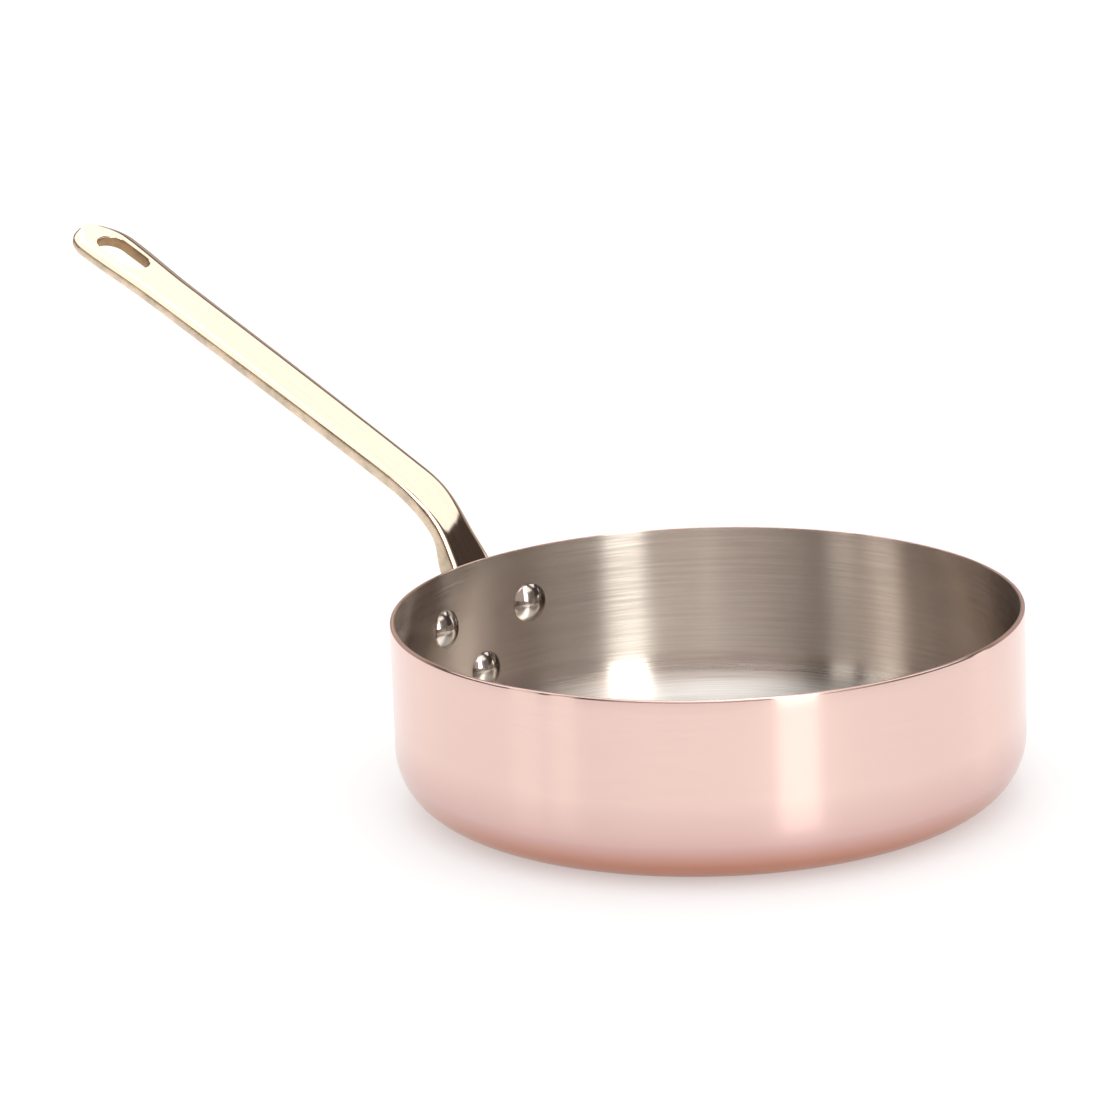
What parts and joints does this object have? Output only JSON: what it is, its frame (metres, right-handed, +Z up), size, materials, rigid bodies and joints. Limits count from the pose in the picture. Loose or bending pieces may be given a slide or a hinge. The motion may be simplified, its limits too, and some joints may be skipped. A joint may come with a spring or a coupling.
{
  "type": "saute pan",
  "caption": "Shallow straight-sided round copper pan with a brushed steel lining and a long, slotted, upswept brass handle held on by domed rivets.",
  "frame": {"origin": "centre of the base, on the surface that the pan stands on", "axes": "+Z up, out of the pan's mouth; the handle points along -X; the pan is symmetric about the XZ plane"},
  "size_m": [0.3886, 0.2, 0.1527],
  "materials": {
    "copper": "polished copper, with fine marks round the pan from spinning and buffing",
    "lining_steel": "stainless steel, brushed in rings round the wall and the floor",
    "brass": "cast brass, polished on its faces and rougher inside the slot",
    "rivet_steel": "polished stainless steel"
  },
  "bodies": {
    "root": {"copper_body": "copper", "steel_lining": "lining_steel", "brass_handle": "brass", "rivet_upper_left": "rivet_steel", "rivet_upper_right": "rivet_steel", "rivet_lower": "rivet_steel"}
  },
  "joints": []
}
